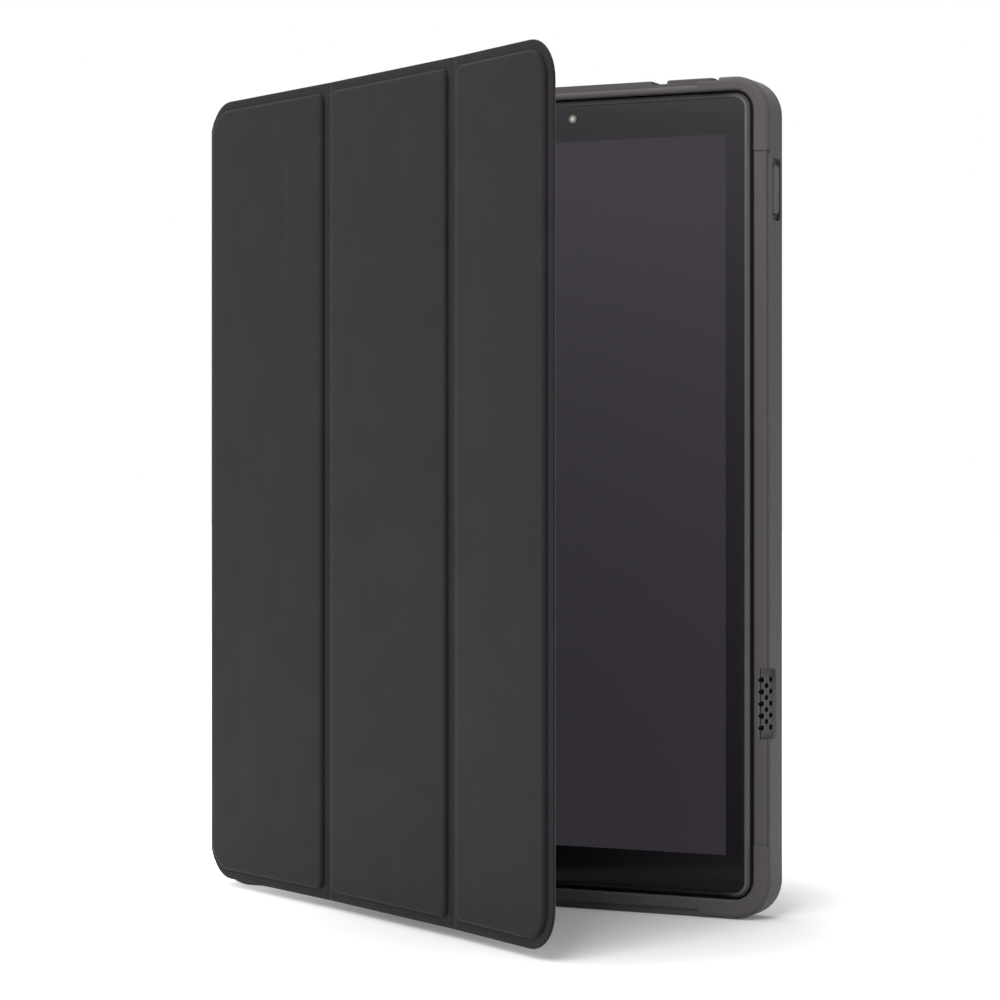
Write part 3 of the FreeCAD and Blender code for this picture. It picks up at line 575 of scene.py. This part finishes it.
def rounded_rise(outline, low, high, radius, steps=5, way=1):
    """Rings of a wall that ends in a rounded edge, which leads inwards or, the other way, outwards."""
    side = 1 if high > low else -1
    rings = [outline.ring(low)]
    for sine, cosine in quarter_turn(steps):
        inset = outline.inset(way * radius * (1 - cosine))
        rings.append(inset.ring(high - side * radius * (1 - sine)))
    return rings


def plate_rings(outline, plate, levels, edges, swell):
    """Rings of a skin over a board: turned edge, flat rim, wall with a rounded edge, and faint swell."""
    base, rim, top = levels
    rim_edge, plate_edge = edges
    rings = rounded_rise(outline, base, rim, rim_edge)
    inner = rings[-1]
    for part in (0.5, 0.85):
        rings.append([
            (x + (far_x - x) * part, y + (far_y - y) * part, rim)
            for (x, y, level), (far_x, far_y) in zip(inner, plate.points())
        ])
    rings += rounded_rise(plate, rim, top, plate_edge, 6)
    for step in swell_steps:
        lift = swell * (1 - math.exp(-step / swell_run))
        rings.append(plate.inset(plate_edge + step).ring(top + lift))
    return rings


def across(rings):
    """Flat rings stood up across the tablet."""
    return [[(x, y, z) for x, z, y in ring] for ring in rings]


def carried(rings, place, start=None):
    """Flat rings carried to their place, cut off straight at a start."""
    return [
        [place(x if start is None else max(x, start), level, y) for x, y, level in ring] for ring in rings
    ]


def wall(build, rings, lined=0):
    """Quads from ring to ring, the last of them round a ring in the second material."""
    loops = [[build.verts.new(point) for point in ring] for ring in rings]
    count = len(loops[0])
    for near, far in zip(loops, loops[1:]):
        for index in range(count):
            face = build.faces.new((near[index - 1], near[index], far[index], far[index - 1]))
            face.material_index = 1 if index >= count - lined else 0
    return loops[0], loops[-1]


def loft(rings, hole=None, lined=0):
    """Closed form through rings of points, with a hole through both of its ends if one is given."""
    build = bmesh.new()
    ends = wall(build, rings, lined)
    if hole is None:
        for loop in ends:
            build.faces.new(loop)
    else:
        for loops in zip(ends, wall(build, hole)):
            edges = [build.edges.get((loop[index - 1], loop[index]))
                     for loop in loops for index in range(len(loop))]
            bmesh.ops.triangle_fill(build, use_beauty=True, edges=edges)
    bmesh.ops.recalc_face_normals(build, faces=build.faces)
    return build


def show(name, build, slot, *materials, body=None):
    """New piece from a built form, smooth but for its creases, riding on a body."""
    if name in bpy.data.objects:
        raise RuntimeError(f"{name} is already there")
    for face in build.faces:
        face.smooth = True
    for edge in build.edges:
        edge.smooth = edge.calc_face_angle(0) < crease_angle
    mesh = bpy.data.meshes.new(name)
    build.to_mesh(mesh)
    build.free()
    for material in materials:
        mesh.materials.append(material)
    piece = bpy.data.objects.new(name, mesh)
    bpy.context.scene.collection.objects.link(piece)
    if body:
        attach(piece, body)
    return piece


# Places of the cover's pieces

class PanelPlace:
    """Place of a flat cover panel: u runs along it from its fold, n out of its inner face, z up."""

    def __init__(self, pivot, opening, size, middle):
        self.pivot = Vector((pivot.x, pivot.y, 0))
        self.ahead = Vector((math.cos(opening), -math.sin(opening), 0))
        self.outward = Vector((-math.sin(opening), -math.cos(opening), 0))
        self.size = size
        self.middle = middle

    def point(self, u, n, z):
        """Point of the panel, in the shared frame."""
        return self.pivot + self.ahead * u + self.outward * (n - self.middle) + upward * z


def sheet_middle(cover):
    """Half the thickness of skin and lining, where a fold's pivot lies."""
    return (cover.skin + cover.lining) / 2


def panel_places(cover):
    """Places of the three cover panels."""
    middle = sheet_middle(cover)
    places = []
    for start, end in (("cover_hinge", "fold_1"), ("fold_1", "fold_2")):
        run = pivots[end] - pivots[start]
        places.append(PanelPlace(pivots[start], math.atan2(-run.y, run.x), run.length, middle))
    places.append(PanelPlace(pivots["fold_2"], cover.free_opening, cover.free_length, middle))
    return places


def panel_outlines(cover, places):
    """Outline, plate outline and first cut of each panel."""
    fold_edge = cover.groove - fold_lap
    low, high = cover_low, cover_high
    bend, free, plain = cover.bend_corner, cover.free_corner, cover.plate_corner
    plate_low, plate_high = low + cover.edge_rim, high - cover.edge_rim
    first, second, third = (place.size for place in places)
    bend_plate = bend - cover.bend_rim
    free_plate = free - cover.free_rim - free_tuck
    outlines = (
        Outline(0, first - fold_edge, low, high, [bend, 0, 0, bend]),
        Outline(fold_edge, second - fold_edge, low, high, [0] * 4),
        Outline(fold_edge, third, low, high, [0, free, free, 0]),
    )
    spans = (
        (cover.bend_rim, first - cover.groove, [bend_plate, plain, plain, bend_plate]),
        (cover.groove, second - cover.groove, [plain] * 4),
        (cover.groove, third - cover.free_rim, [plain, free_plate, free_plate, plain]),
    )
    plates = [Outline(start, end, plate_low, plate_high, radii) for start, end, radii in spans]
    return list(zip(outlines, plates, (skin_cut, None, None)))


def station(cover, base, outward, low, high, dip=0.0):
    """Inner point, way out, ends and thickness of a strip that is a hair proud of the sheets it joins."""
    return base - outward * proud, outward, low, high, cover.skin + cover.lining + 2 * proud - dip


def strip(stations, edge, levels=6, edge_steps=4):
    """Bent strip of skin over lining, with rounded ends on its outer side."""
    def section(base, outward, low, high, top):
        profile = [(top - edge * (1 - sine), low + edge * (1 - cosine))
                   for sine, cosine in quarter_turn(edge_steps)]
        span = high - low - 2 * edge
        profile += [(top, low + edge + span * step / levels) for step in range(1, levels)]
        profile += [(n, low + high - z) for n, z in profile[edge_steps::-1]]
        profile += [(0, high - (high - low) * step / levels) for step in range(levels + 1)]
        return [base + outward * n + upward * z for n, z in profile]
    return loft([section(*cut) for cut in stations], lined=levels)


def show_bend(name, cover, stations):
    """Piece of skin over lining, bent across a joint."""
    return show(name, strip(stations, turned_share * cover.skin), "cover_leather", leather(), microfibre())


def straight(start, end, outward, steps):
    """Points from a start to an end, each with the way out."""
    return [(start.lerp(end, step / steps), outward) for step in range(steps + 1)]


def arc(centre, radius, start, turn, steps=24):
    """Points round a bend, each with the way out."""
    path = []
    for step in range(steps + 1):
        heading = start + turn * step / steps
        outward = Vector((math.cos(heading), math.sin(heading), 0))
        path.append((centre + outward * radius, outward))
    return path


def spine_form(node, inner, outer, turn):
    """Sheet along the spine, from one face to another that has rounded edges."""
    low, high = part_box(node)
    outline = Outline(low.y, high.y, low.z, high.z, [spine_corner] * 4)
    rings = rounded_rise(outline, inner, outer, turn)
    return loft([[(x, y, z) for y, z, x in ring] for ring in rings])


def window_rings(cover, levels, edge):
    """Rings of the camera window, from the back of a sheet to its rounded outer edge."""
    low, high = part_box("rear_lens")
    middle = (low + high) / 2
    far = middle.x + cover.window_margin
    half = cover.window_height / 2
    nearly_round = [0.98 * half] * 4
    window = Outline(far - cover.window_width, far, middle.z - half, middle.z + half, nearly_round)
    return rounded_rise(window, *levels, edge, 4, -1)


# Steps that a user runs

class FOLIO_OT_bumper(bpy.types.Operator):
    """Dress the soft bumper tray and its two button pads in moulded rubber"""
    bl_idname = "folio.bumper"
    bl_label = "Bumper tray"

    def execute(self, context):
        bumper = context.scene.folio_bumper
        rubber = finish_named("moulded_rubber", rubber_material, bumper.rubber, bumper.gloss)
        dress(rubber, "bumper_shell", "power_pad")
        # Painted light: the volume pad gets a lighter copy of the tray's rubber, for its lit face
        pad_painted_tint = lighter(bumper.rubber, bumper.pad_painted_light)
        dress(finish_named("worn_rubber", rubber_material, pad_painted_tint, bumper.gloss), "volume_pad")
        return {"FINISHED"}


class FOLIO_OT_panels(bpy.types.Operator):
    """Build the leather-look skins of the three cover panels over their boards"""
    bl_idname = "folio.panels"
    bl_label = "Cover panels"

    def execute(self, context):
        cover = context.scene.folio_cover
        rim = cover.lining + cover.skin
        levels = (cover.lining, rim, rim + cover.board)
        edges = (turned_share * cover.skin, cover.plate_edge)
        places = panel_places(cover)
        for panel, (outline, plate, start) in enumerate(panel_outlines(cover, places), 1):
            rings = plate_rings(outline, plate, levels, edges, cover.pillow)
            form = loft(carried(rings, places[panel - 1].point, start))
            skin = show(f"panel_{panel}_cover", form, "cover_leather", leather(), body=f"panel_{panel}")
            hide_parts(f"panel_{panel}_skin")
        return {"FINISHED"}


class FOLIO_OT_folds(bpy.types.Operator):
    """Build the thin folds between the panels"""
    bl_idname = "folio.folds"
    bl_label = "Cover folds"
    turning_share = 0.7  # of a fold's half width that takes part in the turn
    crease_share = 0.35  # of a fold's half width that the crease fills

    def execute(self, context):
        cover = context.scene.folio_cover
        places = panel_places(cover)
        reach = cover.groove - fold_play
        turn = self.turning_share * reach
        for panel in (1, 2):
            before, after = places[panel - 1], places[panel]
            fold = show_bend(f"cover_fold_{panel}", cover, self.stations(cover, before, after, reach))
            start = before.point(before.size - turn, before.middle, 0)
            end = after.point(turn, after.middle, 0)
            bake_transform(fold)
            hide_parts(f"fold_web_{panel}")
        return {"FINISHED"}

    def stations(self, cover, before, after, reach, steps=16):
        """Cross-sections from the end of one panel to the start of the next, sunk in the middle."""
        made = []
        for step in range(steps + 1):
            u = reach * (2 * step / steps - 1)
            dip = cover.crease * math.exp(-(u / (self.crease_share * reach)) ** 2)
            place = before if u < 0 else after
            base = place.point(place.size + u if u < 0 else u, 0, 0)
            made.append(station(cover, base, place.outward, cover_low, cover_high, dip))
        return made


class FOLIO_OT_spine(bpy.types.Operator):
    """Build the spine's skin and the two rounded bends that join it to the cover and to the back"""
    bl_idname = "folio.spine"
    bl_label = "Spine and bends"
    edge_share = 0.45  # rounding of the spine's edges, of its skin's thickness

    def execute(self, context):
        cover = context.scene.folio_cover
        self.skin()
        self.front_bend(cover)
        self.back_bend(cover)
        return {"FINISHED"}

    def skin(self):
        """Skin over the spine's board."""
        low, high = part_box("spine_skin")
        form = spine_form("spine_skin", high.x, low.x, self.edge_share * (high.x - low.x))
        piece = show("spine_cover", form, "cover_leather", leather(), body="spine")
        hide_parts("spine_skin")

    def front_bend(self, cover):
        """Bend from the spine into the first panel, which takes the cover's round corners."""
        place = panel_places(cover)[0]
        pivot = place.pivot
        radius = cover.front_bend + place.middle
        turn = math.pi / 2 - math.atan2(-place.ahead.y, place.ahead.x)
        run = radius * math.tan(turn / 2)
        x = pivot.x + place.middle
        foot = Vector((x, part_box("spine_skin")[0].y + lap, 0))
        path = straight(foot, Vector((x, pivot.y + run, 0)), Vector((-1, 0, 0)), 4)[:-1]
        path += arc(pivot + Vector((radius, run, 0)), cover.front_bend, math.pi, turn)
        end = place.point(cover.bend_rim - bend_play, 0, 0)
        path += straight(place.point(run, 0, 0), end, place.outward, 8)[1:]
        corner = cover.bend_corner
        stations = []
        for base, outward in path:
            u = max((base - pivot).dot(place.ahead), 0)
            inset = corner - math.sqrt(corner ** 2 - (corner - u) ** 2)
            stations.append(station(cover, base, outward, cover_low + inset, cover_high - inset))
        bend = show_bend("front_bend", cover, stations)
        place.point(run, place.middle, 0)
        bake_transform(bend)
        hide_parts("front_web")

    def back_bend(self, cover):
        """Bend from the back panel into the spine."""
        middle = sheet_middle(cover)
        pivot = pivots["spine_hinge"]
        spine_low, spine_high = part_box("spine_skin")
        radius = cover.back_bend + middle
        centre = Vector((pivot.x + radius, pivot.y - radius, 0))
        x, y = pivot.x + middle, pivot.y - middle
        edge = Vector((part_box("back_skin")[0].x + lap, y, 0))
        path = straight(edge, Vector((centre.x, y, 0)), Vector((0, 1, 0)), 6)[:-1]
        path += arc(centre, cover.back_bend, math.pi / 2, math.pi / 2)
        end = Vector((x, spine_high.y - lap, 0))
        path += straight(Vector((x, centre.y, 0)), end, Vector((-1, 0, 0)), 3)[1:]
        stations = [station(cover, base, outward, spine_low.z, spine_high.z) for base, outward in path]
        bend = show_bend("back_bend", cover, stations)
        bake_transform(bend)
        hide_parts("back_web")


class FOLIO_OT_back(bpy.types.Operator):
    """Build the skin of the back panel, with its raised plate and camera window"""
    bl_idname = "folio.back"
    bl_label = "Back panel"
    plate_share = 0.85  # rounding of the plate's edge, of its rise
    window_share = 0.6  # rounding of the window's edge, of the skin's thickness

    def execute(self, context):
        cover = context.scene.folio_cover
        low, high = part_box("back_skin")
        corner = cover.back_corner
        spine_low, spine_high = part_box("spine_skin")
        radii = [spine_low.z - low.z, corner, corner, high.z - spine_high.z]
        outline = Outline(low.x, high.x, low.z, high.z, radii)
        rim = cover.back_rim
        plate = Outline(low.x + rim, high.x - rim, low.z + rim, high.z - rim, [corner - rim] * 4)
        rim_level = low.y + cover.skin + cover.lining
        levels = (low.y, rim_level, rim_level + cover.back_rise)
        edges = (turned_share * cover.skin, self.plate_share * cover.back_rise)
        rings = plate_rings(outline, plate, levels, edges, 0)[:1 - len(swell_steps)]
        hole = window_rings(cover, (levels[0], levels[2]), self.window_share * cover.skin)
        form = loft(across(rings), across(hole))
        skin = show("back_cover", form, "cover_leather", leather(), body="tray")
        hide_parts("back_skin")
        return {"FINISHED"}


class FOLIO_OT_linings(bpy.types.Operator):
    """Build the microfibre sheets inside the cover, the spine and the tray"""
    bl_idname = "folio.linings"
    bl_label = "Linings"
    panel_margin = 0.003  # ring inside a panel's lining, for even faces
    tray_margin = 0.004  # ring inside the tray's liner

    def execute(self, context):
        cover = context.scene.folio_cover
        places = panel_places(cover)
        turn = turned_share * cover.lining
        for panel, (outline, plate, start) in enumerate(panel_outlines(cover, places), 1):
            rings = rounded_rise(outline, cover.lining, 0, turn) + [outline.inset(self.panel_margin).ring(0)]
            form = loft(carried(rings, places[panel - 1].point, start and cover.bend_rim - lining_lap))
            self.lay(f"panel_{panel}_lining", form, f"panel_{panel}", f"panel_{panel}_board")
        low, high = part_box("spine_lining")
        form = spine_form("spine_lining", low.x, high.x, turn)
        lining = show("spine_lining_strip", form, "microfibre", microfibre(), body="spine")
        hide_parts("spine_lining")
        self.tray(cover, turn)
        return {"FINISHED"}

    def tray(self, cover, turn):
        """Sheet on the floor of the tray, with the camera window."""
        low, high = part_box("tray_liner")
        outline = Outline(low.x, high.x, low.z, high.z, [liner_corner] * 4)
        rings = rounded_rise(outline, high.y, low.y, turn) + [outline.inset(self.tray_margin).ring(low.y)]
        hole = window_rings(cover, (high.y, low.y), turn)
        self.lay("tray_liner", loft(across(rings), across(hole)), "tray", "bumper_shell")

    @staticmethod
    def lay(node, form, body, carrier):
        """Show a sheet in the place of its node, riding on its body; the carrier is not used."""
        area = sum(face.calc_area() for face in form.faces) / 2
        sheet = show(f"{node}_sheet", form, "microfibre", microfibre(), body=body)
        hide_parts(node)


class FOLIO_OT_tablet(bpy.types.Operator):
    """Dress the tablet's front: glass with its bezel and display, rim, housing, lens and keys"""
    bl_idname = "folio.tablet"
    bl_label = "Tablet front"
    lens_steps = 48  # round the front lens
    lens_share = 0.88  # of the ring's radius that the lens fills
    lens_profile = (  # share of the ring's radius and height above the glass, from the ring inwards
        (1.0, 0.0), (1.0, 0.00003), (0.98, 0.00005), (0.93, 0.00005), (0.91, 0.00003),
        (0.87, 0.00002), (0.7, 0.00008), (0.5, 0.00013), (0.25, 0.00017), (0.05, 0.00018),
    )

    def execute(self, context):
        tablet = context.scene.folio_tablet
        dress(finish_named("front_glass", glass_material, tablet), "cover_glass")
        dress(finish_named("bevelled_metal", rim_material, tablet), "tablet_rim")
        dyed = finish_named("dyed_metal", anodised_material, (0.006, 0.006, 0.007), 0.55, 0.7)
        dress(dyed, "tablet_housing", "power_key", "volume_key")
        self.front_lens(tablet, dyed)
        return {"FINISHED"}

    def front_lens(self, tablet, ring_finish):
        """Ring and domed lens of the front camera, seated on the glass over the camera."""
        low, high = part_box("front_camera")
        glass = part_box("cover_glass")[0].y
        middle = Vector(((low.x + high.x) / 2, glass, (low.z + high.z) / 2))
        outer = tablet.lens_ring
        turns = [math.radians(360 * step / self.lens_steps) for step in range(self.lens_steps)]
        form = loft([
            [middle + Vector((outer * part * math.cos(turn), -lift, outer * part * math.sin(turn)))
             for turn in turns]
            for part, lift in self.lens_profile
        ])
        for face in form.faces:
            away = (face.calc_center_median() - middle).length
            face.material_index = 1 if away < self.lens_share * outer else 0
        # The front lens's light middle is a painted glint
        rim, heart_tint_and_glint, polish = (0.09, 0.093, 0.080), (0.95, 0.94, 0.86), 0.05
        lens = finish_named("front_lens", lens_material, middle, outer, rim, heart_tint_and_glint, polish)
        show("front_lens", form, "module_black", ring_finish, lens, body="tray")


class FOLIO_OT_inside(bpy.types.Operator):
    """Dress the boards, magnets, cells, circuit boards, cameras, socket and speaker"""
    bl_idname = "folio.inside"
    bl_label = "Inner pieces"
    boards = ("panel_1_board", "panel_2_board", "panel_3_board", "spine_board", "back_board")
    magnets = ("cover_magnets", "wake_magnet", "keeper_plate")
    modules = ("front_camera", "rear_camera", "loudspeaker", "key_switches")
    # Nodes, noise, its stretch, darkest and lightest tint, grain, roughness, metal and shine
    grained = {
        "pressed_board": (boards, (1.0, 4, 0.7), (900, 900, 250), (0.12, 0.115, 0.105),
                          (0.24, 0.23, 0.215), (0.00006, 0.5), (0.8, 0.95), 0, 0.2),
        "plated_steel": (magnets, (1.0, 3, 0.7), (5200, 5200, 120), (0.484, 0.484, 0.5016),
                         (0.594, 0.594, 0.6156), (0.00001, 0.3), (0.22, 0.38), 1, 0.5),
        "drawn_steel": (("charging_port",), (1.0, 3, 0.7), (5200, 5200, 120), (0.3696, 0.3696, 0.3784),
                        (0.4536, 0.4536, 0.4644), (0.00001, 0.3), (0.25, 0.4), 1, 0.5),
        "display_back": (("display_panel",), (1.0, 2, 0.5), (20, 20, 4000), (0.010, 0.010, 0.012),
                         (0.022, 0.022, 0.025), (0.00001, 0), (0.25, 0.4), 0, 0.4),
        "creased_foil": (("battery_cells",), (160, 4, 0.65), (1, 1, 1), (0.028, 0.028, 0.034),
                         (0.055, 0.055, 0.062), (0.0001, 0.4), (0.3, 0.5), 0, 0.5),
        "black_plastic": (modules, (2400, 3, 0.6), (1, 1, 1), (0.008, 0.008, 0.008),
                          (0.018, 0.018, 0.018), (0.00002, 0.4), (0.4, 0.55), 0, 0.45),
    }

    def execute(self, context):
        for name, (nodes, *values) in self.grained.items():
            dress(finish_named(name, grained_material, *values), *nodes)
        dress(finish_named("solder_mask", circuit_material), "main_board", "port_board")
        low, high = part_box("rear_lens")
        rim, heart_tint_and_glint, polish = (0.004, 0.004, 0.006), (0.02, 0.018, 0.035), 0.55
        middle, radius = (low + high) / 2, (high.x - low.x) / 2
        rear = finish_named("rear_lens", lens_material, middle, radius, rim, heart_tint_and_glint, polish)
        dress(rear, "rear_lens")
        low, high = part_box("flash_lamp")
        dress(finish_named("flash_window", lamp_material, (low + high) / 2), "flash_lamp")
        return {"FINISHED"}


class FOLIO_OT_stage(bpy.types.Operator):
    """Set the camera, the lamps, the even light all round and the floor"""
    bl_idname = "folio.stage"
    bl_label = "Stage"
    lamps = (  # name, place and size
        ("key", (0.05, -1.3, 1.15), 0.9),
        ("top", (-0.22, 0.02, 1.5), 1.3),
        ("fill", (-1.45, -0.75, 0.95), 0.8),
    )
    lamp_aim = Vector((0, -0.03, cover_high / 2))

    def execute(self, context):
        stage = context.scene.folio_stage
        context.scene.view_settings.view_transform = "Standard"
        self.camera(context.scene, stage)
        for name, place, size in self.lamps:
            self.lamp(context.scene, name, place, size, getattr(stage, name))
        self.sky(context.scene, stage)
        self.floor(context.scene, stage)
        return {"FINISHED"}

    def camera(self, scene, stage):
        """Level camera at the photograph's own angle."""
        data = bpy.data.cameras.new("camera")
        data.lens = stage.lens
        data.shift_y = stage.rise
        camera = bpy.data.objects.new("camera", data)
        back = Vector((math.sin(stage.azimuth), -math.cos(stage.azimuth), 0))
        side = Vector((math.cos(stage.azimuth), math.sin(stage.azimuth), 0))
        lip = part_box("bumper_shell")[0].y
        camera.location = Vector((0, lip, stage.height)) + back * stage.distance + side * stage.offset
        camera.rotation_euler = (math.pi / 2, 0, stage.azimuth)
        scene.collection.objects.link(camera)
        scene.camera = camera

    def lamp(self, scene, name, place, size, power):
        """Large soft lamp that faces the folio."""
        data = bpy.data.lights.new(name, "AREA")
        data.size = size
        data.energy = power
        lamp = bpy.data.objects.new(name, data)
        lamp.location = place
        aim = self.lamp_aim - Vector(place)
        lamp.rotation_euler = aim.to_track_quat("-Z", "Y").to_euler()
        scene.collection.objects.link(lamp)

    def sky(self, scene, stage):
        """Even light, which the camera and reflections see as white."""
        world = bpy.data.worlds.new("sky")
        world.use_nodes = True
        scene.world = world
        look = Nodes(world.node_tree)
        background = look.tree.nodes["Background"].inputs
        look.put(background["Color"], (1, 1, 1, 1))
        look.put(background["Strength"], look.spread(look.seen_directly(), stage.sky, 1))

    def floor(self, scene, stage):
        """Pale floor that keeps the shadow, has painted shade round the wedge and turns white away from the
        folio.
        """
        build = bmesh.new()
        bmesh.ops.create_grid(build, x_segments=8, y_segments=8, size=5)
        mesh = bpy.data.meshes.new("floor")
        build.to_mesh(mesh)
        build.free()
        floor = bpy.data.objects.new("floor", mesh)
        floor.location.z = -floor_drop
        scene.collection.objects.link(floor)
        mesh.materials.append(floor_material(stage))


groups = {
    "folio_cover": CoverSettings,
    "folio_bumper": BumperSettings,
    "folio_tablet": TabletSettings,
    "folio_stage": StageSettings,
}
steps = (
    FOLIO_OT_bumper, FOLIO_OT_panels, FOLIO_OT_folds, FOLIO_OT_spine, FOLIO_OT_back, FOLIO_OT_linings,
    FOLIO_OT_tablet, FOLIO_OT_inside, FOLIO_OT_stage,
)


class FOLIO_PT_steps(bpy.types.Panel):
    """List of the steps and their settings"""
    bl_idname = "FOLIO_PT_steps"
    bl_label = "Folio"
    bl_space_type = "VIEW_3D"
    bl_region_type = "UI"
    bl_category = "Folio"

    def draw(self, context):
        for step in steps:
            self.layout.operator(step.bl_idname)
        for group in groups:
            settings = getattr(context.scene, group)
            box = self.layout.box()
            for name in settings.__annotations__:
                box.prop(settings, name)


def register():
    for group in groups.values():
        bpy.utils.register_class(group)
    for name, group in groups.items():
        setattr(bpy.types.Scene, name, PointerProperty(type=group))
    for item in (*steps, FOLIO_PT_steps):
        bpy.utils.register_class(item)


def unregister():
    for item in (FOLIO_PT_steps, *reversed(steps)):
        bpy.utils.unregister_class(item)
    for name, group in groups.items():
        delattr(bpy.types.Scene, name)
        bpy.utils.unregister_class(group)


def main():
    """Register and run every step in order."""
    register()
    bpy.ops.folio.bumper()
    bpy.ops.folio.panels()
    bpy.ops.folio.folds()
    bpy.ops.folio.spine()
    bpy.ops.folio.back()
    bpy.ops.folio.linings()
    bpy.ops.folio.tablet()
    bpy.ops.folio.inside()
    bpy.ops.folio.stage()


if __name__ == "__main__":
    main()
